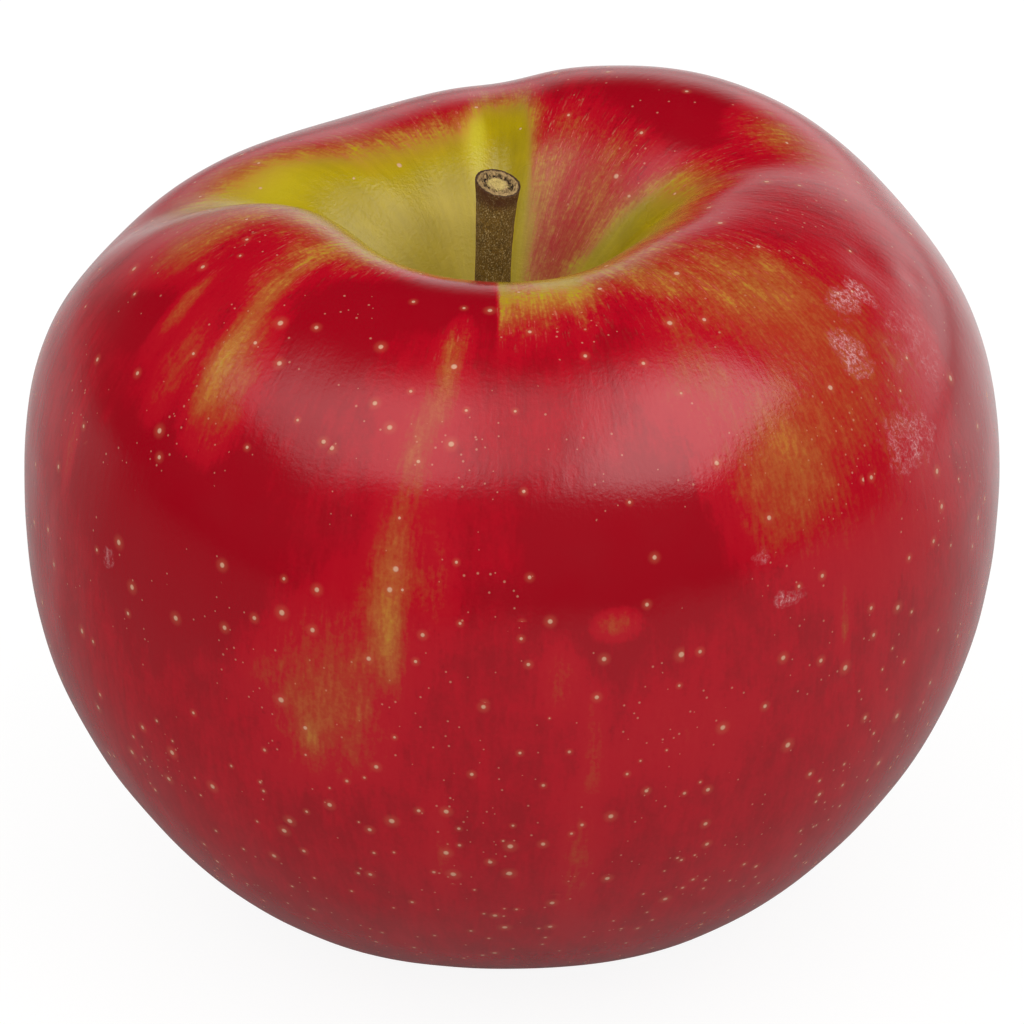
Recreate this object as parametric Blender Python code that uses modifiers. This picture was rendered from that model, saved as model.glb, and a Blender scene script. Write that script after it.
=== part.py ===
"""A red apple, picked and standing on its calyx end: the fruit, its stem, and the dried flower below.

Metres, +Z up. The origin is on the floor under the middle of the fruit, and -Y is the front.
"""

import math

import bmesh
import bpy
import numpy as np

GAP = 0.0003  # kept between pieces that touch

# The fruit is a rounded square turned about the core, squarer above its widest section than below.
FRUIT_RADIUS = 0.042
WIDEST_HEIGHT = 0.0356
TOP_REACH = 0.0342
BOTTOM_REACH = 0.0387
TOP_SQUARENESS = 2.58
BOTTOM_SQUARENESS = 2.13
SQUARENESS_BLEND = 0.25
TAPER = 0.045
LEAN = 0.010

# The stem cavity, pressed into the top a little left of the middle.
CAVITY_DEPTH = 0.0209
CAVITY_WIDTH = 0.0112
CAVITY_POWER = 1.69
CAVITY_SHIFT = -0.0013
CAVITY_SHIFT_REACH = 0.013
CREST_RADIUS = 0.015

# The shoulders round the cavity: bearing and half-width in degrees, height, and share by which the
# cavity widens there.
SHOULDERS = (
    (50, 34, 0.0030, 0.00),
    (92, 8, -0.0005, 0.10),
    (125, 32, -0.0032, 0.00),
    (166, 18, -0.0019, 0.38),
    (208, 26, 0.0030, 0.07),
    (325, 30, 0.0006, -0.10),
    (18, 14, -0.0008, 0.10),
)

# The calyx basin underneath, with five low lobes round it that the fruit stands on.
BASIN_DEPTH = 0.0105
BASIN_WIDTH = 0.0098
LOBES = 5
FIRST_LOBE = 90
LOBE_SWELL = 0.012
LOBE_DROP = 0.0005
LOBE_RADIUS = 0.0148
LOBE_WIDTH = 0.0090

FRUIT_SEGMENTS = 64
FRUIT_RINGS = 40
POLE_CROWDING = 0.35

# The stem, cut across at the top, and the socket that it grows from.
STEM_RADIUS = 0.00155
STEM_LENGTH = 0.0205
STEM_SEGMENTS = 16
STEM_RINGS = 10
STEM_FOOT_SWELL = 0.10
STEM_HEAD_SWELL = 0.28
STEM_BEND = 0.0004
STEM_CUT_SLOPE = (0.22, -0.16)
SOCKET_DEPTH = 0.0020
SOCKET_RADIUS = 0.0023
SOCKET_SEGMENTS = 24

# The dried flower: five sepals curled round a tuft of stamens.
SEPALS = 5
FIRST_SEPAL = 54
SEPAL_LENGTH = 0.0058
SEPAL_WIDTH = 0.0026
SEPAL_THICKNESS = 0.0005
SEPAL_RING_RADIUS = 0.0030
SEPAL_STEPS = 7
SEPAL_ACROSS = 4
TUFT_RADIUS = 0.0012
TUFT_HEIGHT = 0.0026
TUFT_SEGMENTS = 12


def clear_scene():
    for old in list(bpy.data.objects):
        bpy.data.objects.remove(old, do_unlink=True)


def new_collection(name):
    collection = bpy.data.collections.new(name)
    bpy.context.scene.collection.children.link(collection)
    return collection


def new_material(name, colour, roughness):
    material = bpy.data.materials.new(name)
    material.use_nodes = True
    shader = material.node_tree.nodes["Principled BSDF"]
    shader.inputs["Base Color"].default_value = (*colour, 1.0)
    shader.inputs["Roughness"].default_value = roughness
    shader.inputs["Metallic"].default_value = 0.0
    return material


def new_piece(name, shape, collection, material):
    """Turns a bmesh into an object of the collection, shaded smooth away from its sharp edges."""
    bmesh.ops.recalc_face_normals(shape, faces=shape.faces)
    mesh = bpy.data.meshes.new(name)
    shape.to_mesh(mesh)
    shape.free()
    mesh.shade_smooth()
    mesh.set_sharp_from_angle(angle=math.radians(50))
    piece = bpy.data.objects.new(name, mesh)
    collection.objects.link(piece)
    if material:
        mesh.materials.append(material)
    return piece


def bell(around, bearing, width):
    """A smooth bump over the bearings near one bearing, all in radians."""
    off = (around - bearing + math.pi) % (2 * math.pi) - math.pi
    return np.exp(-((off / width) ** 2))


def fruit_surface(polar, around):
    """The skin, by angle down from the stem and bearing round the core, before the floor trims it.

    A superellipse turned about Z gives the body. The shoulders lift its rim, an exponential bowl
    presses in the stem cavity, a Gaussian bowl the calyx basin, and five lobes swell round that.
    """
    rise = np.cos(polar)
    square = 0.5 + 0.5 * np.tanh(rise / SQUARENESS_BLEND)
    square = BOTTOM_SQUARENESS + (TOP_SQUARENESS - BOTTOM_SQUARENESS) * square
    reach = (np.sin(polar) ** square + np.abs(rise) ** square) ** (-1 / square)
    up = reach * rise
    above = np.clip(up, 0, 1)
    below = np.clip(-up, 0, 1)

    lobe = np.cos(LOBES * (around - math.radians(FIRST_LOBE)))
    radius = FRUIT_RADIUS * reach * np.sin(polar) * (1 + TAPER * up) * (1 + LOBE_SWELL * lobe * below)

    lift = np.zeros_like(around)
    widening = np.ones_like(around)
    for bearing, width, height, share in SHOULDERS:
        bump = bell(around, math.radians(bearing), math.radians(width))
        lift += height * bump
        widening += share * bump
    crest = (radius / CREST_RADIUS) ** 3
    crest = crest / (1 + crest) * above**0.8
    bowl = np.exp(-((radius / (CAVITY_WIDTH * widening)) ** CAVITY_POWER)) * np.clip(3 * above, 0, 1)
    basin = np.exp(-((radius / BASIN_WIDTH) ** 2)) * (up < 0)
    foot = np.exp(-(((radius - LOBE_RADIUS) / LOBE_WIDTH) ** 2)) * lobe * below

    height = np.where(up > 0, TOP_REACH, BOTTOM_REACH) * up
    height = height + lift * crest - CAVITY_DEPTH * bowl + BASIN_DEPTH * basin - LOBE_DROP * foot
    shift = CAVITY_SHIFT * np.exp(-((radius / CAVITY_SHIFT_REACH) ** 2)) * above
    x = radius * np.cos(around) + LEAN * height + shift
    y = radius * np.sin(around)
    return np.stack([x, y, height + WIDEST_HEIGHT], axis=-1)


def skin_point(polar, around):
    return fruit_surface(np.array([polar]), np.array([around]))[0]


def make_fruit(collection, cutters, material):
    """A UV sphere, its rings crowded towards the poles, moved onto the skin and trimmed by the floor."""
    shape = bmesh.new()
    bmesh.ops.create_uvsphere(shape, u_segments=FRUIT_SEGMENTS, v_segments=FRUIT_RINGS, radius=1)
    ball = np.array([vertex.co for vertex in shape.verts])
    polar = np.arccos(np.clip(ball[:, 2], -1, 1))
    polar = polar - POLE_CROWDING * np.sin(2 * polar) / 2
    around = np.arctan2(ball[:, 1], ball[:, 0])
    skin = fruit_surface(polar, around)
    skin[:, 2] = np.maximum(skin[:, 2], 0)
    for vertex, place in zip(shape.verts, skin):
        vertex.co = place
    fruit = new_piece("fruit", shape, collection, material)

    foot = skin_point(0.0, 0.0)
    cutter = bmesh.new()
    depth = 2 * SOCKET_DEPTH + STEM_RADIUS
    bmesh.ops.create_cone(
        cutter,
        cap_ends=True,
        segments=SOCKET_SEGMENTS,
        radius1=SOCKET_RADIUS,
        radius2=SOCKET_RADIUS,
        depth=depth,
    )
    bmesh.ops.translate(cutter, verts=cutter.verts, vec=foot + (0, 0, depth / 2 - SOCKET_DEPTH))
    socket = new_piece("stem_socket_cutter", cutter, cutters, None)
    socket.hide_render = True
    socket.display_type = "WIRE"
    cut = fruit.modifiers.new("stem_socket", "BOOLEAN")
    cut.object = socket
    cut.operation = "DIFFERENCE"
    cut.solver = "EXACT"


def make_stem(collection, material):
    """A cylinder with ring cuts, swollen at its foot and head, bent a little and cut off on a slant."""
    shape = bmesh.new()
    bmesh.ops.create_cone(
        shape,
        cap_ends=True,
        segments=STEM_SEGMENTS,
        radius1=STEM_RADIUS,
        radius2=STEM_RADIUS,
        depth=STEM_LENGTH,
    )
    bmesh.ops.translate(shape, verts=shape.verts, vec=(0, 0, STEM_LENGTH / 2))
    for ring in range(1, STEM_RINGS):
        bmesh.ops.bisect_plane(
            shape,
            geom=shape.verts[:] + shape.edges[:] + shape.faces[:],
            plane_co=(0, 0, STEM_LENGTH * ring / STEM_RINGS),
            plane_no=(0, 0, 1),
        )
    foot = skin_point(0.0, 0.0) - (0, 0, SOCKET_DEPTH - GAP)
    for vertex in shape.verts:
        along = vertex.co.z / STEM_LENGTH
        swell = 1 + STEM_FOOT_SWELL * (1 - along) ** 4 + STEM_HEAD_SWELL * along**6
        side = vertex.co.x * swell
        depth = vertex.co.y * swell
        slant = (STEM_CUT_SLOPE[0] * side + STEM_CUT_SLOPE[1] * depth) * along**8
        vertex.co.x = foot[0] + side - STEM_BEND * math.sin(math.pi * along)
        vertex.co.y = foot[1] + depth
        vertex.co.z = foot[2] + vertex.co.z - slant
    new_piece("stem", shape, collection, material)


def make_sepal(number, collection, material):
    """A tongue of dried leaf: it leaves the basin's floor, leans in over the eye, and curls out."""
    shape = bmesh.new()
    bmesh.ops.create_grid(shape, x_segments=SEPAL_ACROSS, y_segments=SEPAL_STEPS, size=1)
    bearing = math.radians(FIRST_SEPAL + 360 / SEPALS * number)
    eye = skin_point(math.pi, 0.0)
    for vertex in shape.verts:
        along = (vertex.co.y + 1) / 2
        across = vertex.co.x
        half = SEPAL_WIDTH / 2 * (1 - 0.85 * along**1.4)
        out = SEPAL_RING_RADIUS - 0.0014 * math.sin(math.pi * min(1.25 * along, 1)) + 0.0016 * along**4
        drop = 3.2 * GAP + SEPAL_LENGTH * 0.62 * along + 0.25 * half * across**2
        side = half * across
        vertex.co.x = eye[0] + out * math.cos(bearing) - side * math.sin(bearing)
        vertex.co.y = eye[1] + out * math.sin(bearing) + side * math.cos(bearing)
        vertex.co.z = eye[2] - drop
    piece = new_piece(f"sepal_{number + 1}", shape, collection, material)
    wall = piece.modifiers.new("thickness", "SOLIDIFY")
    wall.thickness = SEPAL_THICKNESS
    wall.offset = 0


def make_stamen_tuft(collection, material):
    """The withered stamens stand together as one blunt cone in the middle of the eye."""
    shape = bmesh.new()
    bmesh.ops.create_cone(
        shape,
        cap_ends=True,
        segments=TUFT_SEGMENTS,
        radius1=0.6 * TUFT_RADIUS,
        radius2=TUFT_RADIUS,
        depth=TUFT_HEIGHT,
    )
    eye = skin_point(math.pi, 0.0)
    bmesh.ops.translate(shape, verts=shape.verts, vec=eye - (0, 0, TUFT_HEIGHT / 2 + 1.5 * GAP))
    new_piece("stamen_tuft", shape, collection, material)


def main():
    clear_scene()
    apple = new_collection("red_apple")
    cutters = new_collection("cutters")
    make_fruit(apple, cutters, new_material("apple_skin", (0.42, 0.01, 0.02), 0.25))
    make_stem(apple, new_material("stem_bark", (0.10, 0.07, 0.04), 0.85))
    for number in range(SEPALS):
        dried = new_material(f"dried_sepal_{number + 1}", (0.12, 0.09, 0.05), 0.9)
        make_sepal(number, apple, dried)
    make_stamen_tuft(apple, new_material("dried_stamens", (0.07, 0.05, 0.03), 0.95))


main()
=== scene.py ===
import math

import bpy
import numpy as np
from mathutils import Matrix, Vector


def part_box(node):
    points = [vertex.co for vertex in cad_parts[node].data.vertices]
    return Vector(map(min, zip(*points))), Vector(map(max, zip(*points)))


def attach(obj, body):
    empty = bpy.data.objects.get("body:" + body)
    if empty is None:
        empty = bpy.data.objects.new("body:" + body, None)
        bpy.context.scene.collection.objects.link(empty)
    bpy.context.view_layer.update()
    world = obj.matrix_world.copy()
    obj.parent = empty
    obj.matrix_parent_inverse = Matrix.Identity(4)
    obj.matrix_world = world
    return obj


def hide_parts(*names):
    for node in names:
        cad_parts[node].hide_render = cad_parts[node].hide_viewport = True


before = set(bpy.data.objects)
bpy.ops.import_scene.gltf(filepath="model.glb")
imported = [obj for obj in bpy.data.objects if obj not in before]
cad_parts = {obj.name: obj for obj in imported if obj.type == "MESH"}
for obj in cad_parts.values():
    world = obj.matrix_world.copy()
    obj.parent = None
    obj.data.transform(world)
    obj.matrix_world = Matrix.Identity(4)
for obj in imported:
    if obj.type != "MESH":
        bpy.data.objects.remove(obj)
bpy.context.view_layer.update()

# ---------------------------------------------------------------------------------------------
# The fruit: one grown body in a waxy skin, yellow underneath and flushed red where the sun was.
# It stands on the lobes round its calyx basin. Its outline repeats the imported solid's.
# ---------------------------------------------------------------------------------------------

FRUIT_RADIUS = 0.042
WIDEST_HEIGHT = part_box("fruit")[0].z + 0.0356
TOP_REACH = 0.0342
BOTTOM_REACH = 0.0387
TOP_SQUARENESS = 2.58
BOTTOM_SQUARENESS = 2.13
SQUARENESS_BLEND = 0.25
TAPER = 0.045
LEAN = 0.010

CAVITY_DEPTH = 0.0209
CAVITY_WIDTH = 0.0112
CAVITY_POWER = 1.69
CAVITY_SHIFT = -0.0013
CAVITY_SHIFT_REACH = 0.013
CREST_RADIUS = 0.015

# Bearing and half-width in degrees, height, and share by which the cavity widens there.
SHOULDERS = (
    (50, 34, 0.0030, 0.00),
    (92, 8, -0.0005, 0.10),
    (125, 32, -0.0032, 0.00),
    (166, 18, -0.0019, 0.38),
    (208, 26, 0.0030, 0.07),
    (325, 30, 0.0006, -0.10),
    (18, 14, -0.0008, 0.10),
)

BASIN_DEPTH = 0.0105
BASIN_WIDTH = 0.0098
LOBES = 5
FIRST_LOBE = 90
LOBE_SWELL = 0.012
LOBE_DROP = 0.0005
LOBE_RADIUS = 0.0148
LOBE_WIDTH = 0.0090

SKIN_RINGS = 216
SKIN_SEGMENTS = 440
POLE_CROWDING = 0.30


def bell(off, width):
    return np.exp(-((off / width) ** 2))


def turn_between(around, bearing):
    """The signed angle in degrees from a bearing to each place, the short way round."""
    return (np.degrees(around) - bearing + 180) % 360 - 180


def fruit_surface(polar, around):
    """A superellipse turned about Z, its rim lifted by the shoulders, with an exponential bowl for
    the stem cavity, a Gaussian bowl for the calyx basin, and five lobes swelling round that."""
    rise = np.cos(polar)
    square = 0.5 + 0.5 * np.tanh(rise / SQUARENESS_BLEND)
    square = BOTTOM_SQUARENESS + (TOP_SQUARENESS - BOTTOM_SQUARENESS) * square
    reach = (np.sin(polar) ** square + np.abs(rise) ** square) ** (-1 / square)
    up = reach * rise
    above = np.clip(up, 0, 1)
    below = np.clip(-up, 0, 1)

    lobe = np.cos(LOBES * (around - math.radians(FIRST_LOBE)))
    radius = FRUIT_RADIUS * reach * np.sin(polar) * (1 + TAPER * up) * (1 + LOBE_SWELL * lobe * below)

    lift = np.zeros_like(around)
    widening = np.ones_like(around)
    for bearing, width, height, share in SHOULDERS:
        bump = bell(turn_between(around, bearing), width)
        lift = lift + height * bump
        widening = widening + share * bump
    crest = (radius / CREST_RADIUS) ** 3
    crest = crest / (1 + crest) * above**0.8
    bowl = np.exp(-((radius / (CAVITY_WIDTH * widening)) ** CAVITY_POWER)) * np.clip(3 * above, 0, 1)
    basin = bell(radius, BASIN_WIDTH) * (up < 0)
    foot = bell(radius - LOBE_RADIUS, LOBE_WIDTH) * lobe * below

    height = np.where(up > 0, TOP_REACH, BOTTOM_REACH) * up
    height = height + lift * crest - CAVITY_DEPTH * bowl + BASIN_DEPTH * basin - LOBE_DROP * foot
    shift = CAVITY_SHIFT * bell(radius, CAVITY_SHIFT_REACH) * above
    x = radius * np.cos(around) + LEAN * height + shift
    y = radius * np.sin(around)
    return np.stack([x, y, height + WIDEST_HEIGHT], axis=-1)


def normals_of(rings):
    """Unit normals of a grid of rings, from its differences down and around."""
    down = np.gradient(rings, axis=0)
    around = np.roll(rings, -1, axis=1) - np.roll(rings, 1, axis=1)
    normal = np.cross(down, around)
    return normal / np.maximum(np.linalg.norm(normal, axis=-1, keepdims=True), 1e-12)


def ripple(places, wavelength, seed, waves=28):
    """Smooth unevenness between about -1 and 1: sine waves of like length in random directions."""
    rng = np.random.default_rng(seed)
    ways = rng.normal(size=(waves, 3))
    ways /= np.linalg.norm(ways, axis=1, keepdims=True)
    ways *= 2 * math.pi / wavelength * rng.uniform(0.7, 1.4, size=(waves, 1))
    phases = rng.uniform(0, 2 * math.pi, waves)
    return np.sin(places @ ways.T + phases).sum(axis=-1) / math.sqrt(waves / 2) / 2


def closed_piece(name, parts, material):
    """One mesh of closed bodies. Each is a grid of rings, given top to bottom and turning
    anticlockwise seen from the top, whose first and last rings are points."""
    places, faces, start = [], [], 0
    for rings in parts:
        count, segments = rings.shape[0] - 2, rings.shape[1]
        body = rings[1:-1].reshape(-1, 3)
        ends = np.stack([rings[0].mean(axis=0), rings[-1].mean(axis=0)])
        places.append(np.concatenate([body, ends]))
        index = start + np.arange(count * segments).reshape(count, segments)
        after = np.roll(index, -1, axis=1)
        quads = np.stack([index[:-1], index[1:], after[1:], after[:-1]], axis=-1)
        first, last = start + count * segments, start + count * segments + 1
        cap = np.stack([np.full(segments, first), index[0], after[0]], axis=-1)
        foot = np.stack([np.full(segments, last), after[-1], index[-1]], axis=-1)
        faces += quads.reshape(-1, 4).tolist() + cap.tolist() + foot.tolist()
        start += len(places[-1])
    mesh = bpy.data.meshes.new(name)
    mesh.from_pydata(np.concatenate(places), [], faces)
    mesh.shade_smooth()
    mesh.materials.append(material)
    piece = bpy.data.objects.new(name, mesh)
    bpy.context.scene.collection.objects.link(piece)
    return piece


def add_field(piece, name, parts):
    """Stores a number or a vector at each point of a closed piece, in the order it was built in."""
    flat = []
    for field in parts:
        wide = field.reshape(field.shape[0], field.shape[1], -1)
        ends = np.stack([wide[0].mean(axis=0), wide[-1].mean(axis=0)])
        flat.append(np.concatenate([wide[1:-1].reshape(-1, wide.shape[-1]), ends]))
    values = np.concatenate(flat)
    if values.shape[1] == 1:
        piece.data.attributes.new(name, "FLOAT", "POINT").data.foreach_set("value", values.ravel())
    else:
        piece.data.attributes.new(name, "FLOAT_VECTOR", "POINT").data.foreach_set("vector", values.ravel())


class Wire:
    """A socket in a shader. Arithmetic on it adds Math nodes; node() adds any other node."""

    def __init__(self, tree, socket=None):
        self.tree = tree
        self.socket = socket

    def node(self, kind, settings=None, inputs=None, output=0):
        """Adds a node, makes its settings, then fills or links its sockets; gives one output."""
        made = self.tree.nodes.new("ShaderNode" + kind)
        for name, value in (settings or {}).items():
            if name == "stops":
                ramp = made.color_ramp
                while len(ramp.elements) < len(value):
                    ramp.elements.new(0.5)
                for element, (place, colour) in zip(ramp.elements, value):
                    element.position = place
                    element.color = (*colour, 1)
            else:
                setattr(made, name, value)
        for name, value in (inputs or {}).items():
            if isinstance(value, Wire):
                self.tree.links.new(value.socket, made.inputs[name])
            else:
                made.inputs[name].default_value = value
        return Wire(self.tree, made.outputs[output] if made.outputs else None)

    def out(self, name):
        return Wire(self.tree, self.socket.node.outputs[name])

    def math(self, operation, *values, clamp=False):
        inputs = dict(enumerate(values))
        return self.node("Math", {"operation": operation, "use_clamp": clamp}, inputs)

    def __add__(self, other):
        return self.math("ADD", self, other)

    def __sub__(self, other):
        return self.math("SUBTRACT", self, other)

    def __mul__(self, other):
        return self.math("MULTIPLY", self, other)

    def __truediv__(self, other):
        return self.math("DIVIDE", self, other)

    def __radd__(self, other):
        return self.math("ADD", other, self)

    def __rsub__(self, other):
        return self.math("SUBTRACT", other, self)

    def __rmul__(self, other):
        return self.math("MULTIPLY", other, self)

    def between(self, low, high):
        """0 at low, 1 at high, eased and clamped; low may be the larger."""
        settings = {"interpolation_type": "SMOOTHSTEP"}
        return self.node("MapRange", settings, {"Value": self, "From Min": low, "From Max": high})

    def clamped(self):
        return self.math("ADD", self, 0.0, clamp=True)

    def vector(self, operation, *values, output=0):
        return self.node("VectorMath", {"operation": operation}, dict(enumerate(values)), output)

    def over(self, below, share):
        """This colour laid over another one by a share."""
        return self.node("Mix", {"data_type": "RGBA"}, {0: share, 6: below, 7: self}, output=2)

    def field(self, name, output="Fac"):
        return self.node("Attribute", {"attribute_name": name}, output=output)

    def noise(self, place, scale, detail=2.0, roughness=0.5):
        """Cloudy noise from about -1 to 1 round 0."""
        inputs = {"Vector": place, "Scale": scale, "Detail": detail, "Roughness": roughness}
        return (self.node("TexNoise", {}, inputs) - 0.5) * 2.6

    def colour(self, red, green, blue):
        """A paint given on a 0 to 255 screen scale."""
        return self.node("CombineColor", {}, dict(enumerate(screen_colour(red, green, blue))))


def screen_colour(*levels):
    """Screen levels of 0 to 255 as the linear light that the shader works in."""
    parts = [level / 255 for level in levels]
    return tuple(p / 12.92 if p <= 0.04045 else ((p + 0.055) / 1.055) ** 2.4 for p in parts)


def new_finish(name):
    """A material with only its output node, and a wire to build from."""
    material = bpy.data.materials.new(name)
    material.use_nodes = True
    material.node_tree.nodes.clear()
    return material, Wire(material.node_tree)


def place_in_millimetres(start):
    return start.vector("MULTIPLY", start.node("TexCoord", output="Object"), (1000, 1000, 1000))


def close_finish(start, **sockets):
    """Ends a finish in one Principled shader."""
    inputs = {name.replace("_", " "): value for name, value in sockets.items()}
    shader = start.node("BsdfPrincipled", {}, inputs)
    start.node("OutputMaterial", {}, {"Surface": shader})


# Where the red begins, in degrees down from the stem at each bearing. The yellow ground shows above.
BLUSH_EDGE = (
    (0, 21), (12, 23), (24, 21), (32, 13), (42, 8), (58, 7), (68, 9), (79, 17), (87, 28), (97, 29),
    (103, 24), (120, 24), (140, 27), (152, 36), (170, 41), (184, 38), (197, 29), (215, 26), (230, 26),
    (240, 23), (252, 20), (265.5, 20), (267.5, 33), (283, 32), (291, 26), (310, 21), (335, 20),
    (360, 20),
)
EDGE_SOFTNESS = (
    (0, 6), (45, 9), (74, 9), (90, 6), (120, 6), (150, 10), (175, 13), (200, 10), (230, 7), (262, 3),
    (268, 6), (290, 8), (330, 6), (360, 6),
)

FULL_RED = 0.96
# The red fades by this share towards the calyx, from one angle down and over another.
BASIN_FADE = 0.75
BASIN_FADE_FROM = 158
BASIN_FADE_OVER = 18

# Places paler or deeper than the rest: bearing, degrees down, half-width, half-length, strength.
PATCHES = (
    (256, 66, 2.5, 13, -0.46), (256.5, 76, 1.6, 6, -0.20), (261, 66, 2.2, 9, -0.25),
    (260, 38, 2.6, 6, -0.42), (258, 48, 3.2, 7, -0.30), (248, 82, 8, 9, -0.34), (249, 91, 7, 7, -0.22),
    (252, 72, 5, 7, -0.14), (225, 42, 2.4, 13, -0.50), (228.5, 50, 4.0, 9, -0.45),
    (219, 50, 3.0, 8, -0.30), (222, 33, 4, 6, -0.32), (213, 45, 1.8, 6, -0.36), (201, 38, 8, 7, -0.45),
    (205.5, 67, 1.1, 5, -0.32), (282, 71.6, 2.9, 2.0, -0.42), (275.5, 79, 2.2, 5, -0.22),
    (279.3, 90, 1.4, 8, -0.22), (278, 109, 2.0, 11, -0.24), (262, 106, 1.4, 8, -0.22),
    (247, 91, 1.0, 3, -0.25), (316, 32, 14, 8, -0.40), (322, 47, 17, 15, -0.38),
    (304, 58, 9, 10, -0.40), (297, 42, 6, 7, -0.28), (311, 80, 0.8, 5, -0.30), (290, 89, 8, 6, -0.12),
    (320, 70, 12, 8, -0.10), (285, 64, 13, 10, 0.16), (226, 68, 14, 13, 0.24), (254, 29, 9, 5, 0.20),
    (240, 37, 7, 7, 0.14), (45, 26, 20, 6, 0.18), (20, 36, 10, 6, -0.30), (277, 30, 9, 6, 0.30),
    (272, 24, 4, 3, 0.20), (206, 47, 8, 5, 0.14), (302, 28, 7, 5, -0.34), (50, 15, 19, 6, -0.42),
    (70, 15, 7, 8, -0.30), (28, 32, 8, 5, -0.34), (20, 62, 3, 12, -0.35), (48, 75, 9, 10, -0.20),
    (84, 50, 2.5, 14, -0.40), (110, 72, 6, 12, -0.26), (138, 60, 2.2, 10, -0.40),
    (160, 85, 9, 9, -0.20), (182, 66, 2.0, 9, -0.38), (70, 100, 4, 14, -0.22), (125, 45, 9, 8, 0.16),
    (5, 88, 10, 12, 0.16), (345, 60, 8, 12, 0.10),
)

# Paler and greener places in the yellow, two of them painted light: bearing, degrees down, half-width,
# half-length, strength.
# The first paints a highlight on the back wall of the stem cavity, the second paints shade in the groove
# beside it.
GROUND_SPOTS_AND_PAINTED_LIGHT = (
    (101, 21, 4, 5, 0.8), (92, 20, 7, 9, -0.35), (225, 14, 9, 6, 0.30), (238, 12, 12, 5, 0.35),
    (20, 16, 12, 8, -0.45), (300, 12, 20, 6, -0.25), (160, 30, 12, 6, 0.30), (278, 29, 7, 4, 0.35),
)

# Rubbed places on the wax: bearing, degrees down, half-width, half-length, strength.
SCUFFS = (
    (331, 42, 4.5, 2.4, 1.0), (335.5, 42.5, 2.0, 3.2, 1.0), (324, 47.5, 3.4, 4.0, 1.0),
    (326, 60, 7, 5, 0.75), (337, 52, 8, 8, 0.55), (300, 66.5, 2.0, 2.0, 0.7),
    (303, 73, 3.0, 1.2, 0.8), (217, 76.5, 1.2, 1.6, 0.9), (60, 52, 8, 6, 0.7), (150, 70, 6, 6, 0.6),
)

# Unevenness all over: height and wavelength in metres, and the seed of its random waves.
SWELLS = (0.00010, 0.022, 3)
LUMPS = (0.00003, 0.007, 4)

# Soft dents: bearing, degrees down, half-width in degrees, depth in metres.
DENTS = (
    (344, 41, 3.0, 0.00016), (350, 47, 2.2, 0.00014), (331, 42, 2.6, 0.00010), (324, 48, 2.6, 0.00012),
    (272, 46, 5.0, 0.00012), (238, 95, 9.0, 0.00015), (300, 100, 9.0, 0.00012), (20, 78, 6.0, 0.0002),
    (118, 64, 4.0, 0.00025), (166, 96, 8.0, 0.00015),
)


def around_table(table, around):
    """Reads a value at each bearing off a table, straight between its entries."""
    bearings, values = zip(*table)
    return np.interp(np.degrees(around) % 360, bearings, values)


def eased(value):
    value = np.clip(value, 0, 1)
    return value * value * (3 - 2 * value)


def make_skin_rings():
    """The skin's grid with its fields: places, and the angles down and around."""
    polar = np.linspace(0, math.pi, SKIN_RINGS + 2)[:, None]
    polar = polar - POLE_CROWDING * np.sin(2 * polar) / 2
    around = np.linspace(0, 2 * math.pi, SKIN_SEGMENTS, endpoint=False)[None, :]
    polar, around = np.broadcast_arrays(polar, around)
    rings = fruit_surface(polar, around)
    outward = normals_of(rings)
    down = np.degrees(polar)
    rough = SWELLS[0] * ripple(rings, *SWELLS[1:]) + LUMPS[0] * ripple(rings, *LUMPS[1:])
    rough = rough * np.sin(polar)
    for bearing, place, width, depth in DENTS:
        off = np.hypot(turn_between(around, bearing) * np.sin(polar), down - place)
        rough = rough - depth * bell(off, width)
    rings = rings + outward * rough[..., None]
    rings[..., 2] = np.maximum(rings[..., 2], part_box("fruit")[0].z)
    return rings, polar, around


def spot_distance(around, down, bearing, place, width, length):
    """How far each place is from the middle of an oval spot: the squares of the two offsets, each in
    the spot's half-sizes, summed."""
    return (turn_between(around, bearing) / width) ** 2 + ((down - place) / length) ** 2


def skin_fields(rings, polar, around):
    """Pigment, ground tone with its painted highlight and shade, wear and grain at each point of the skin.

    Pigment is 0 in the yellow cavity and about 1 in full red, with the patches added as bells.
    The grain vector turns with the bearing and runs down the skin in millimetres from the stem.
    """
    down = np.degrees(polar)
    edge = around_table(BLUSH_EDGE, around)
    soft = around_table(EDGE_SOFTNESS, around)
    pigment = FULL_RED * eased((down - edge + soft) / (2 * soft))
    for bearing, place, width, length, strength in PATCHES:
        off = spot_distance(around, down, bearing, place, width, length)
        pigment = pigment + strength * np.exp(-(off**1.3)) * eased(down / 20)
    pigment = pigment * (1 - BASIN_FADE * eased((down - BASIN_FADE_FROM) / BASIN_FADE_OVER))
    wear = np.zeros_like(down)
    for bearing, place, width, length, strength in SCUFFS:
        off = spot_distance(around, down, bearing, place, width, length)
        wear = np.maximum(wear, strength * np.exp(-(off**1.5)))
    steps = np.linalg.norm(np.diff(rings, axis=0), axis=-1) * 1000
    travel = np.concatenate([np.zeros((1, rings.shape[1])), np.cumsum(steps, axis=0)])
    grain = np.stack([np.cos(around), np.sin(around), travel], axis=-1)
    # The ground's own paler and greener tone, with a painted highlight and painted shade in the stem
    # cavity.
    ground = np.zeros_like(down)
    for bearing, place, width, length, strength in GROUND_SPOTS_AND_PAINTED_LIGHT:
        off = spot_distance(around, down, bearing, place, width, length)
        ground = ground + strength * np.exp(-(off**1.2))
    return {"pigment": pigment, "ground": ground, "wear": wear, "grain": grain, "down": down}


# Pale dots in the skin: spacing, radius and shift of the scatter, in millimetres and spacings.
LARGE_DOTS = (4.6, 0.24, 0.0)
SMALL_DOTS = (2.3, 0.16, 31.7)
FLECKS = (1.1, 0.11, 12.4)


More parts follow.
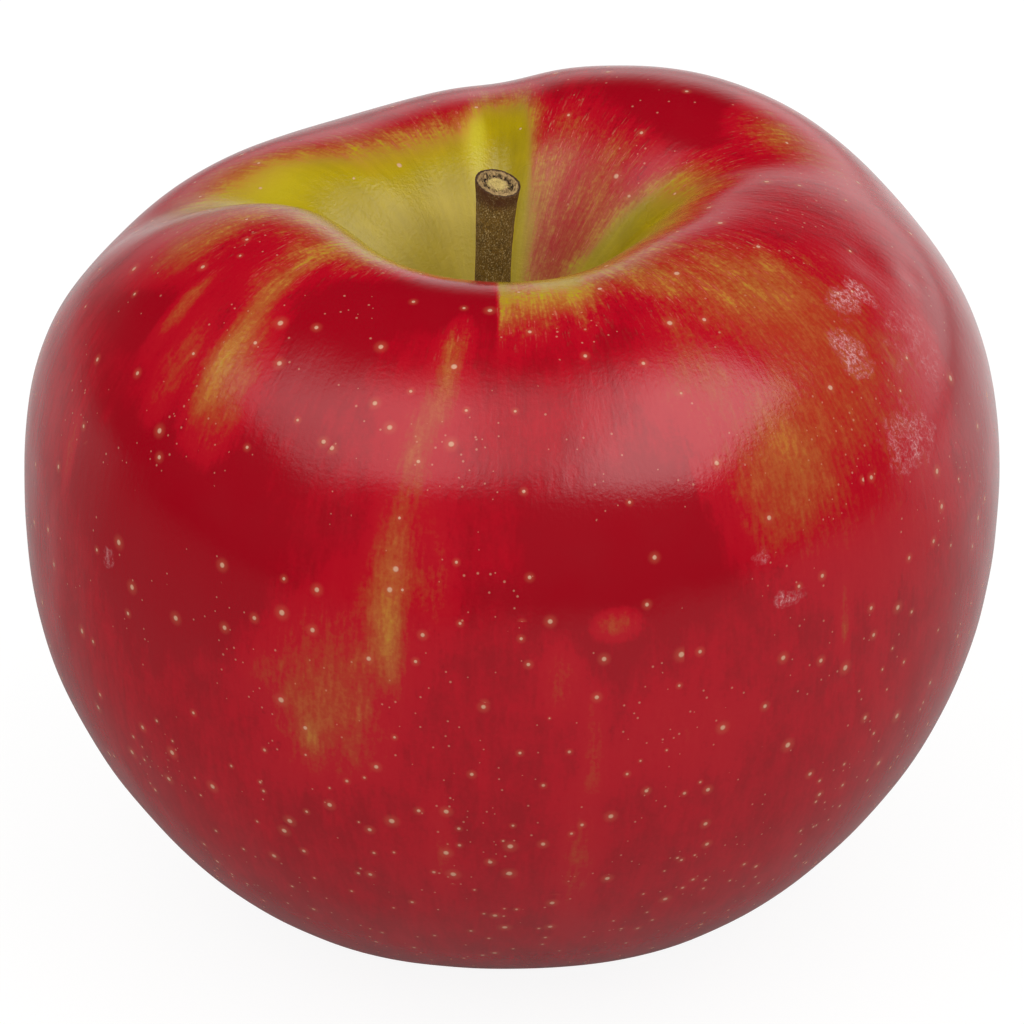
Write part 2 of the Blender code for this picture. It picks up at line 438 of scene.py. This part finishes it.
def dots(start, place, share, spacing, radius, shift):
    """Round dots scattered over a surface: a scattered point near enough to the surface makes one,
    and how far a place is from it, along the surface, is given in dot radii. share of the spacing is
    as far off the surface as a point may be."""
    scaled = start.vector("MULTIPLY", place, (1 / spacing, 1 / spacing, 1 / spacing))
    scaled = start.vector("ADD", scaled, (shift, shift, shift))
    cell = start.node("TexVoronoi", {}, {"Vector": scaled, "Scale": 1.0, "Randomness": 1.0}, "Position")
    offset = start.vector("SUBTRACT", scaled, cell)
    outward = start.node("NewGeometry", output="Normal")
    high = start.vector("DOT_PRODUCT", offset, outward, output="Value")
    lift = start.node("VectorMath", {"operation": "SCALE"}, {0: outward, "Scale": high})
    away = start.vector("LENGTH", start.vector("SUBTRACT", offset, lift), output="Value") * spacing
    chance = start.node("SeparateColor", {}, {0: cell.out("Color")})
    kept = start.math("LESS_THAN", start.math("ABSOLUTE", high), share)
    return away / (radius * (0.6 + 0.7 * chance)), kept


# The skin's paints.
OLIVE = (132, 112, 6)
PALE_YELLOW = (202, 188, 50)
GREEN_BROWN = (112, 92, 6)
PALE_THREAD = (214, 142, 104)
DOT_HALO = (190, 96, 66)
DOT_CORE = (210, 162, 132)
RUBBED_WAX = (218, 158, 158)


def skin_finish():
    """Waxy apple skin: yellow ground, red pigment in streaks along the grain, pale dots that crowd
    towards the calyx, and rubbed wax."""
    material, start = new_finish("apple_skin")
    place = place_in_millimetres(start)
    grain = start.field("grain", "Vector")
    pigment = start.field("pigment")
    ground = start.field("ground")
    wear = start.field("wear")
    down = start.field("down")

    def streaks(round_scale, run_scale, detail):
        stretched = start.vector("MULTIPLY", grain, (round_scale, round_scale, run_scale))
        return start.noise(stretched, 1.0, detail)

    broad = streaks(6.0, 0.06, 2.0)
    fine = streaks(30.0, 0.22, 3.0)
    hair = streaks(95.0, 0.55, 2.0)
    mottle = start.noise(place, 0.32, 3.0)
    grit = start.noise(place, 2.6, 3.0, 0.6)
    turning = pigment.between(0.04, 0.35) * pigment.between(1.02, 0.70)
    sway = 0.05 * broad + 0.035 * fine + 0.03 * hair + 0.04 * mottle + 0.03 * grit
    lively = turning * (0.50 + 0.60 * down.between(44, 30))
    sway = sway + lively * (0.18 * fine + 0.24 * hair + 0.20 * mottle + 0.24 * grit)
    red = (pigment + sway * pigment.between(0.0, 0.25)).clamped()

    stops = (
        (0.00, screen_colour(176, 152, 2)),
        (0.12, screen_colour(174, 134, 38)),
        (0.26, screen_colour(180, 112, 44)),
        (0.42, screen_colour(173, 80, 38)),
        (0.62, screen_colour(170, 46, 28)),
        (0.78, screen_colour(175, 8, 27)),
        (0.92, screen_colour(172, 0, 25)),
        (1.00, screen_colour(152, 0, 20)),
    )
    colour = start.node("ValToRGB", {"stops": stops}, {0: red})

    bare = (1 - 1.4 * pigment).clamped()
    # Olive over the yellow in random tone, deeper where the ground field paints shade in the cavity's
    # groove.
    green = bare * (0.22 + 0.35 * mottle + 0.25 * fine - ground)
    colour = start.colour(*OLIVE).over(colour, green.clamped() * 0.8)
    # Pale yellow where the ground field is raised, which also paints a highlight on the cavity's back
    # wall.
    colour = start.colour(*PALE_YELLOW).over(colour, (bare * (ground + 0.25 * grit * ground)).clamped())
    freckle = grit.between(0.55, 0.95) * bare
    colour = start.colour(*GREEN_BROWN).over(colour, freckle * 0.30)
    threads = hair.between(0.12, 0.60) * turning * grit.between(-0.4, 0.4) * down.between(46, 26)
    colour = start.colour(*PALE_THREAD).over(colour, threads * 0.50)

    crowd = (0.27 + 0.12 * down.between(30, 110)) * down.between(12, 20)
    far, kept = dots(start, place, crowd, *LARGE_DOTS)
    core = far.between(1.0, 0.45) * kept
    halo = far.between(3.0, 0.6) * kept
    far, kept = dots(start, place, 0.34 * down.between(72, 150) - 0.01, *SMALL_DOTS)
    small_core = far.between(1.0, 0.4) * kept
    small_halo = far.between(2.6, 0.6) * kept
    clusters = start.noise(place, 0.16, 2.0).between(-0.15, 0.7)
    far, kept = dots(start, place, 0.30 * clusters, *FLECKS)
    fleck = far.between(1.0, 0.4) * kept * (1 - bare)
    halos = start.math("MAXIMUM", halo * 0.30, small_halo * 0.22)
    cores = start.math("MAXIMUM", core, small_core * 0.85)
    colour = start.colour(*DOT_HALO).over(colour, halos * (1 - bare))
    colour = start.colour(*DOT_CORE).over(colour, start.math("MAXIMUM", cores * 0.80, fleck * 0.4))

    swirl = start.node("TexNoise", {}, {"Vector": place, "Scale": 0.9}, "Color")
    warped = start.vector("ADD", place, swirl)
    cracks = start.node("TexVoronoi", {"feature": "DISTANCE_TO_EDGE"}, {"Vector": warped, "Scale": 2.6})
    ragged = (wear * 1.5 - 0.62 + 0.75 * start.noise(place, 0.7, 3.0)).clamped()
    crackle = cracks.between(0.16, 0.02) * ragged * grit.between(-0.35, 0.35)
    film = ragged * 0.42 * grit.between(-0.5, 0.6)
    worn = (crackle * 0.50 + film).clamped()
    colour = start.colour(*RUBBED_WAX).over(colour, worn)

    roughness = 0.165 + 0.26 * down.between(22, 9) + 0.03 * mottle + 0.22 * worn + 0.15 * cores
    height = 0.06 * fine + 0.04 * hair + 0.05 * mottle + (0.06 + 0.15 * bare) * grit
    height = height + 0.30 * cores + 0.25 * crackle
    bump = start.node("Bump", {}, {"Height": height, "Distance": 0.0002, "Strength": 0.5})
    close_finish(start, Base_Color=colour, Roughness=roughness, Normal=bump, IOR=1.45)
    return material


rings, polar, around = make_skin_rings()
apple = closed_piece("apple", [rings], skin_finish())
for field, values in skin_fields(rings, polar, around).items():
    add_field(apple, field, [values])
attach(apple, "root")
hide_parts("fruit")

# ---------------------------------------------------------------------------------------------
# The stem: a woody stalk grown into the bottom of the cavity, rough barked and flared at its head,
# where it broke from the spur and left a slanting, torn face of pale wood round a ring of dark.
# ---------------------------------------------------------------------------------------------

STEM_RADIUS = 0.00155
STEM_HEAD_SWELL = 0.26
STEM_FOOT_SWELL = 0.10
STEM_BEND = 0.0004
STEM_CUT_SLOPE = (0.22, -0.16)
STEM_SHORTENING = 0.0011
STEM_SHAFT_RINGS = 120
STEM_FACE_RINGS = 40
STEM_SEGMENTS = 128


def stem_surface(along, around, inward):
    """A round shaft on a bent axis that swells at foot and head, ridged along its length. inward
    runs from 0 at the rim of the cut to 1 at its middle, over a face torn in rings."""
    low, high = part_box("stem")
    length = high.z - low.z - STEM_SHORTENING
    swell = 1 + STEM_FOOT_SWELL * (1 - along) ** 4 + STEM_HEAD_SWELL * along**6
    swell = swell + 0.06 * along**5 * np.cos(around - 0.3) + 0.03 * np.cos(2 * around + 4 * along)
    unit = np.stack([np.cos(around), np.sin(around), 3.2 * along], axis=-1)
    ridges = 0.016 * ripple(unit * (1, 1, 0.25), 0.30, 11) + 0.020 * ripple(unit, 0.9, 12)
    grain = 0.010 * ripple(unit, 0.11, 13)
    spread = (1 - inward) ** 0.9
    radius = STEM_RADIUS * (swell + ridges + grain) * spread
    side = radius * np.cos(around)
    depth = radius * np.sin(around)
    slant = (STEM_CUT_SLOPE[0] * side + STEM_CUT_SLOPE[1] * depth) * along**8
    bend = -STEM_BEND * np.sin(math.pi * along)

    face = unit * spread[..., None]
    torn = ripple(face, 0.22, 14) + 0.6 * ripple(face, 0.10, 15)
    groove = bell(inward - 0.47 - 0.16 * torn, 0.13)
    relief = -0.00034 * groove + 0.00012 * torn * eased(inward / 0.2) - 0.00005 * bell(inward - 0.12, 0.07)
    top = fruit_surface(np.zeros(1), np.zeros(1))[0]
    x = top[0] + side + bend
    z = low.z + length * along - slant + relief
    return np.stack([x, top[1] + depth, z], axis=-1), groove


# The paints of the bark and of the torn wood.
PALE_BARK = (138, 104, 40)
DARK_BARK = (96, 68, 22)
BARK_FLECK = (206, 184, 136)
BARK_PIT = (36, 22, 6)
BARK_CRACK = (40, 26, 8)
RED_COLLAR = (78, 34, 20)
PALE_WOOD = (216, 184, 126)
BROWN_WOOD = (156, 116, 68)
WOOD_GROOVE = (42, 22, 8)
HEART_WOOD = (216, 190, 112)
CUT_EDGE = (58, 32, 18)


def stem_finish():
    """Dark olive-brown bark with fine pale flecks and a redder collar, and torn wood on the cut."""
    material, start = new_finish("stem_bark")
    place = place_in_millimetres(start)
    along = start.field("along")
    inward = start.field("inward")
    groove = start.field("groove")
    stretched = start.vector("MULTIPLY", place, (1.0, 1.0, 0.45))
    fibre = start.noise(stretched, 3.2, 3.0)
    grit = start.noise(place, 7.0, 3.0, 0.65)
    cloud = start.noise(place, 0.8, 2.0)
    scale = start.node("TexVoronoi", {"feature": "DISTANCE_TO_EDGE"}, {"Vector": stretched, "Scale": 5.0})

    light = (0.5 + 0.5 * cloud + 0.5 * fibre).clamped()
    bark = start.colour(*PALE_BARK).over(start.colour(*DARK_BARK), light)
    bark = start.colour(*BARK_FLECK).over(bark, grit.between(0.06, 0.42) * 0.8)
    bark = start.colour(*BARK_PIT).over(bark, grit.between(-0.12, -0.60) * 0.8)
    bark = start.colour(*BARK_CRACK).over(bark, scale.between(0.10, 0.0) * 0.45)
    collar = along.between(0.90, 0.955) * (0.8 + 0.4 * cloud)
    bark = start.colour(*RED_COLLAR).over(bark, (collar * 0.85).clamped())

    light = (0.55 + 0.5 * grit).clamped()
    wood = start.colour(*PALE_WOOD).over(start.colour(*BROWN_WOOD), light)
    splinters = start.noise(place, 2.6, 2.0)
    dark = (groove + 1.9 * splinters * inward.between(0.1, 0.4)).clamped()
    wood = start.colour(*WOOD_GROOVE).over(wood, dark)
    heart = (inward + 0.30 * splinters).between(0.56, 0.70)
    wood = start.colour(*HEART_WOOD).over(wood, (heart * (0.85 + 0.5 * grit)).clamped())
    wood = start.colour(*CUT_EDGE).over(wood, inward.between(0.16, 0.06))
    colour = wood.over(bark, (inward + 0.012 * grit).between(0.02, 0.05))

    roughness = 0.72 + 0.08 * grit
    height = 0.4 * fibre + 0.5 * grit - 0.6 * scale.between(0.10, 0.0)
    bump = start.node("Bump", {}, {"Height": height, "Distance": 0.00006, "Strength": 0.9})
    close_finish(start, Base_Color=colour, Roughness=roughness, Normal=bump, IOR=1.4)
    return material


def stem_grid():
    """From the middle of the cut out over its face, then down the shaft to the foot."""
    shaft = np.linspace(1, 0, STEM_SHAFT_RINGS)
    face = np.linspace(1, 0, STEM_FACE_RINGS, endpoint=False)
    inward = np.concatenate([face, np.zeros(STEM_SHAFT_RINGS), [0.5, 1]])
    along = np.concatenate([np.ones(STEM_FACE_RINGS), shaft, [0, 0]])
    around = np.linspace(0, 2 * math.pi, STEM_SEGMENTS, endpoint=False)
    return np.broadcast_arrays(along[:, None], around[None], inward[:, None])


along, around, inward = stem_grid()
rings, groove = stem_surface(along, around, inward)
stem = closed_piece("stalk", [rings], stem_finish())
on_cut = along > 0.5
add_field(stem, "along", [along])
add_field(stem, "inward", [inward * on_cut])
add_field(stem, "groove", [groove * on_cut])
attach(stem, "root")
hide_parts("stem")

# ---------------------------------------------------------------------------------------------
# The sepals: the five leafy tips left from the blossom, dried grey-brown and curled, downy on
# both faces. They stand round the eye of the calyx basin and hang clear of the floor.
# ---------------------------------------------------------------------------------------------

SEPALS = 5
FIRST_SEPAL = 54
SEPAL_LENGTH = 0.0058
SEPAL_WIDTH = 0.0026
SEPAL_THICKNESS = 0.00032
SEPAL_RING_RADIUS = 0.0030
EYE_GAP = 0.00096
SEPAL_RINGS = 56
SEPAL_SEGMENTS = 48


def sepal_surface(along, across, face):
    """A leaf narrowing to its tip, cupped across, leaning in over the eye and curling out again.
    across runs from -1 to 1 and face is -1 below and 1 above its middle sheet."""
    half = SEPAL_WIDTH / 2 * (1 - 0.88 * along**1.4) * (0.9 + 0.1 * np.cos(9 * along))
    out = SEPAL_RING_RADIUS - 0.0014 * np.sin(math.pi * np.minimum(1.25 * along, 1)) + 0.0016 * along**4
    drop = EYE_GAP + 0.62 * SEPAL_LENGTH * along + 0.25 * half * across**2
    crinkle = 0.00010 * np.sin(11 * along + 2.5 * across) * along
    crinkle = crinkle + 0.00006 * np.sin(7 * across + 17 * along)
    thick = SEPAL_THICKNESS / 2 * np.sqrt(np.clip(1 - across**2, 0, 1)) * (1 - 0.5 * along)
    out = out + 0.35 * half * across**2 + crinkle + face * thick
    return out, half * across, drop


def sepal_rings(number):
    """The sepal as a flat tube of rings from its foot to its tip, turned to its bearing."""
    along = np.linspace(0, 1, SEPAL_RINGS)[:, None]
    turn = np.linspace(0, 2 * math.pi, SEPAL_SEGMENTS, endpoint=False)[None]
    along, turn = np.broadcast_arrays(along, turn)
    out, side, drop = sepal_surface(along, np.cos(turn), np.sin(turn))
    bearing = math.radians(FIRST_SEPAL + 360 / SEPALS * number)
    eye = fruit_surface(np.full(1, math.pi), np.zeros(1))[0]
    out = out * (1 + 0.06 * math.sin(2.4 * number))
    x = eye[0] + out * math.cos(bearing) - side * math.sin(bearing)
    y = eye[1] + out * math.sin(bearing) + side * math.cos(bearing)
    return np.stack([x, y, eye[2] - drop], axis=-1), along, np.cos(turn)


PALE_LEAF = (126, 104, 66)
DARK_LEAF = (74, 52, 28)
LEAF_TIP = (46, 28, 14)
MIDRIB = (150, 128, 84)
SIDE_VEIN = (58, 40, 20)
PALE_DOWN = (188, 176, 146)


def sepal_finish():
    """Dry leaf: grey-brown, darker at the tip, with a midrib, side veins and pale down."""
    material, start = new_finish("dried_sepal")
    place = place_in_millimetres(start)
    along = start.field("along")
    across = start.field("across")
    cloud = start.noise(place, 1.4, 3.0)
    down = start.noise(start.vector("MULTIPLY", place, (1, 1, 0.3)), 9.0, 3.0, 0.7)
    colour = start.colour(*PALE_LEAF).over(start.colour(*DARK_LEAF), (0.5 + 0.5 * cloud).clamped())
    colour = start.colour(*LEAF_TIP).over(colour, along.between(0.55, 1.0) * 0.8)
    rib = start.math("ABSOLUTE", across).between(0.16, 0.02)
    vein = start.math("SINE", 34 * along + 9 * across * across)
    colour = start.colour(*MIDRIB).over(colour, rib * 0.6)
    colour = start.colour(*SIDE_VEIN).over(colour, vein.between(0.6, 1.0) * 0.35)
    colour = start.colour(*PALE_DOWN).over(colour, down.between(0.25, 0.9) * 0.65)
    height = 0.5 * down + 0.5 * rib + 0.2 * vein
    bump = start.node("Bump", {}, {"Height": height, "Distance": 0.00006, "Strength": 0.8})
    close_finish(start, Base_Color=colour, Roughness=0.8 + 0.08 * cloud, Normal=bump, IOR=1.4)
    return material


leaf_finish = sepal_finish()
for number in range(SEPALS):
    rings, along, across = sepal_rings(number)
    sepal = closed_piece(f"leaf_tip_{number + 1}", [rings], leaf_finish)
    add_field(sepal, "along", [along])
    add_field(sepal, "across", [across])
    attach(sepal, "root")
    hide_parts(f"sepal_{number + 1}")

# ---------------------------------------------------------------------------------------------
# The stamens: the blossom's dry threads with their shrunken anthers, and five styles among them,
# matted together into a brown tuft over the eye. They grew there and nothing else holds them.
# ---------------------------------------------------------------------------------------------

STAMENS = 20
STYLES = 5
THREAD_RADIUS = 0.000075
ANTHER_RADIUS = 0.00014
STYLE_RADIUS = 0.00012
STYLE_TIP_RADIUS = 0.00006
STYLE_RING_RADIUS = 0.00018
STYLE_LEAN = 0.0001
THREAD_RINGS = 22
THREAD_SEGMENTS = 8


def thread_rings(bearing, spread, length, lean, thickness, anther):
    """A thread that rises from the tuft's foot and bends outwards, its end swollen into an anther."""
    along = np.linspace(0, 1, THREAD_RINGS)[:, None]
    turn = np.linspace(0, 2 * math.pi, THREAD_SEGMENTS, endpoint=False)[None]
    along, turn = np.broadcast_arrays(along, turn)
    low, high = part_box("stamen_tuft")
    middle = (low + high) / 2
    out = spread + lean * along**2 + 0.00008 * np.sin(7 * along + bearing)
    body = thickness * (1.1 - 0.4 * along) + anther * bell(along - 0.93, 0.055)
    body = body * np.sqrt(np.clip((1 - along) / 0.03, 0, 1))
    side = body * np.cos(turn)
    out = out + body * np.sin(turn)
    drop = length * along
    x = middle.x + out * math.cos(bearing) - side * math.sin(bearing)
    y = middle.y + out * math.sin(bearing) + side * math.cos(bearing)
    return np.stack([x, y, high.z - drop], axis=-1), along


PALE_STAMEN = (128, 98, 56)
DARK_STAMEN = (66, 42, 20)
ANTHER = (38, 24, 12)


def thread_finish():
    """Dry thread: brown, paler along its length, with dark anthers."""
    material, start = new_finish("dried_stamen")
    place = place_in_millimetres(start)
    along = start.field("along")
    cloud = start.noise(place, 2.5, 2.0)
    colour = start.colour(*PALE_STAMEN).over(start.colour(*DARK_STAMEN), (0.5 + 0.5 * cloud).clamped())
    colour = start.colour(*ANTHER).over(colour, along.between(0.8, 0.9))
    bump = start.node("Bump", {}, {"Height": start.noise(place, 14.0, 2.0), "Distance": 0.00004})
    close_finish(start, Base_Color=colour, Roughness=0.8 + 0.08 * cloud, Normal=bump, IOR=1.4)
    return material


rng = np.random.default_rng(7)
threads = []
tuft_low, tuft_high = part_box("stamen_tuft")
tuft_height = tuft_high.z - tuft_low.z
for number in range(STAMENS):
    bearing = 2 * math.pi * (number + rng.uniform(-0.3, 0.3)) / STAMENS
    length = tuft_height * rng.uniform(0.70, 0.98)
    lean = rng.uniform(0.0002, 0.0008)
    spread = rng.uniform(0.0004, 0.0010)
    threads.append(thread_rings(bearing, spread, length, lean, THREAD_RADIUS, ANTHER_RADIUS))
for number in range(STYLES):
    bearing = 2 * math.pi * number / STYLES
    reach = (STYLE_RING_RADIUS, tuft_height, STYLE_LEAN)
    threads.append(thread_rings(bearing, *reach, STYLE_RADIUS, STYLE_TIP_RADIUS))
tuft = closed_piece("stamens", [rings for rings, along in threads], thread_finish())
add_field(tuft, "along", [along for rings, along in threads])
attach(tuft, "root")
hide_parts("stamen_tuft")

# ---------------------------------------------------------------------------------------------
# The studio: a pale floor, white all round to the eye, and in the gloss two big soft boxes high in
# front and the white sheet behind. The camera looks down on the apple as it was seen.
# ---------------------------------------------------------------------------------------------

FLOOR_HALF_WIDTH = 3.0
FLOOR_DROP = 0.0001
# How strongly the floor glows: to the eye, in the gloss nearby, in the gloss beyond the apple and
# there on the lit side, and as light on the apple. Then its paint in the same cases.
GLOW_TO_EYE = 0.90
GLOW_IN_GLOSS = 0.06
GLOW_BEYOND = 0.22
GLOW_LIT_SIDE = 0.26
GLOW_AS_LIGHT = 0.16
PAINT_TO_EYE = 0.12
PAINT_IN_GLOSS = 0.12
PAINT_LIT_SIDE = 0.20
PAINT_AS_LIGHT = 0.34
PAINT_WARMTH = 0.97

floor_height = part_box("fruit")[0].z - FLOOR_DROP
near_end, far_end = -FLOOR_HALF_WIDTH, FLOOR_HALF_WIDTH
corners = [(near_end, near_end), (far_end, near_end), (far_end, far_end), (near_end, far_end)]
mesh = bpy.data.meshes.new("floor")
mesh.from_pydata([(x, y, floor_height) for x, y in corners], [], [(0, 1, 2, 3)])
floor = bpy.data.objects.new("floor", mesh)
bpy.context.scene.collection.objects.link(floor)

floor_finish, start = new_finish("pale_floor")
to_eye = start.node("LightPath", output="Is Camera Ray")
to_gloss = to_eye.out("Is Glossy Ray")
place = start.node("TexCoord", output="Object")
rightwards = start.node("SeparateXYZ", {}, {0: place})
near = start.vector("LENGTH", place, output="Value").between(0.9, 0.10)
beyond = rightwards.out("Y").between(0.0, 0.14)
lit_side = rightwards.between(-0.16, 0.06)
in_gloss = GLOW_IN_GLOSS * near + (GLOW_BEYOND + GLOW_LIT_SIDE * lit_side) * beyond
level = GLOW_TO_EYE * to_eye + in_gloss * to_gloss + GLOW_AS_LIGHT * (1 - to_eye - to_gloss)
glow = start.node("Emission", {}, {"Color": (1, 1, 1, 1), "Strength": level})
share = PAINT_TO_EYE * to_eye + (PAINT_IN_GLOSS + PAINT_LIT_SIDE * lit_side) * near * to_gloss
share = share + PAINT_AS_LIGHT * (1 - to_eye - to_gloss)
paint = start.node("CombineColor", {}, {0: share, 1: share, 2: share * PAINT_WARMTH})
paint = start.node("BsdfDiffuse", {}, {"Color": paint})
start.node("OutputMaterial", {}, {"Surface": start.node("AddShader", {}, {0: glow, 1: paint})})
mesh.materials.append(floor_finish)

# Each box's left, right, front and back ends on a ceiling one unit up, then its strength in the
# gloss and as light. The first is the left box, the second dims its edge, the last is the right one.
SOFT_BOXES = (
    (-1.15, -0.12, -1.02, 0.02, 1.55, 0.55),
    (-0.75, -0.15, -0.95, -0.05, 0.45, 0.00),
    (-0.20, 0.34, -0.84, -0.06, 1.15, 0.00),
    (0.28, 1.12, -1.12, 0.12, 3.30, 0.95),
)

BOX_SOFT_SIDES = 0.20
BOX_SOFT_ENDS = 0.16
SHEET_STRENGTH = 0.75
SHEET_RIGHT_GAIN = 1.0
LEAST_SHINE = 0.003
ROOM_LIGHT = 1.06
LESS_FROM_BEHIND = 0.32
LESS_FROM_ABOVE = 0.16

world = bpy.data.worlds.new("studio")
world.use_nodes = True
world.node_tree.nodes.clear()
start = Wire(world.node_tree)
way = start.node("SeparateXYZ", {}, {0: start.node("TexCoord", output="Generated")})
backwards = way.out("Y")
upwards = way.out("Z")
overhead = start.math("MAXIMUM", upwards, 0.05)
right = way / overhead
back = backwards / overhead


def window(value, low, high, soft):
    """1 between two ends and 0 outside them, with soft edges."""
    return value.between(low - soft, low + soft) * value.between(high + soft, high - soft)


shine = backwards.between(0.10, 0.75) * upwards.between(0.50, 0.10)
shine = LEAST_SHINE + shine * start.math("MAXIMUM", SHEET_STRENGTH + SHEET_RIGHT_GAIN * way, 0.1)
light = ROOM_LIGHT - LESS_FROM_BEHIND * backwards - LESS_FROM_ABOVE * upwards
for left_end, right_end, front_end, back_end, gloss_strength, light_strength in SOFT_BOXES:
    box = window(right, left_end, right_end, BOX_SOFT_SIDES)
    box = box * window(back, front_end, back_end, BOX_SOFT_ENDS)
    box = box * upwards.between(0.1, 0.3)
    shine = shine + gloss_strength * box
    light = light + light_strength * box
to_eye = start.node("LightPath", output="Is Camera Ray")
to_gloss = to_eye.out("Is Glossy Ray")
level = to_eye + to_gloss * shine + (1 - to_eye - to_gloss) * light
sky = start.node("Background", {}, {"Color": (1, 1, 1, 1), "Strength": level})
start.node("OutputWorld", {}, {"Surface": sky})
bpy.context.scene.world = world
world.cycles.sampling_method = "NONE"

CAMERA_DISTANCE = 0.6
CAMERA_TILT = 27.6
SENSOR_WIDTH = 36
LENS_LENGTH = 242.4
TARGET_SIDEWAYS = 0.0001

eye = bpy.data.cameras.new("camera")
eye.sensor_width = SENSOR_WIDTH
eye.lens = LENS_LENGTH
camera = bpy.data.objects.new("camera", eye)
bpy.context.scene.collection.objects.link(camera)
target = Vector((TARGET_SIDEWAYS, 0, WIDEST_HEIGHT))
tilt = math.radians(CAMERA_TILT)
camera.location = target + CAMERA_DISTANCE * Vector((0, -math.cos(tilt), math.sin(tilt)))
camera.rotation_euler = (target - camera.location).to_track_quat("-Z", "Y").to_euler()
bpy.context.scene.camera = camera
bpy.context.scene.view_settings.view_transform = "Standard"
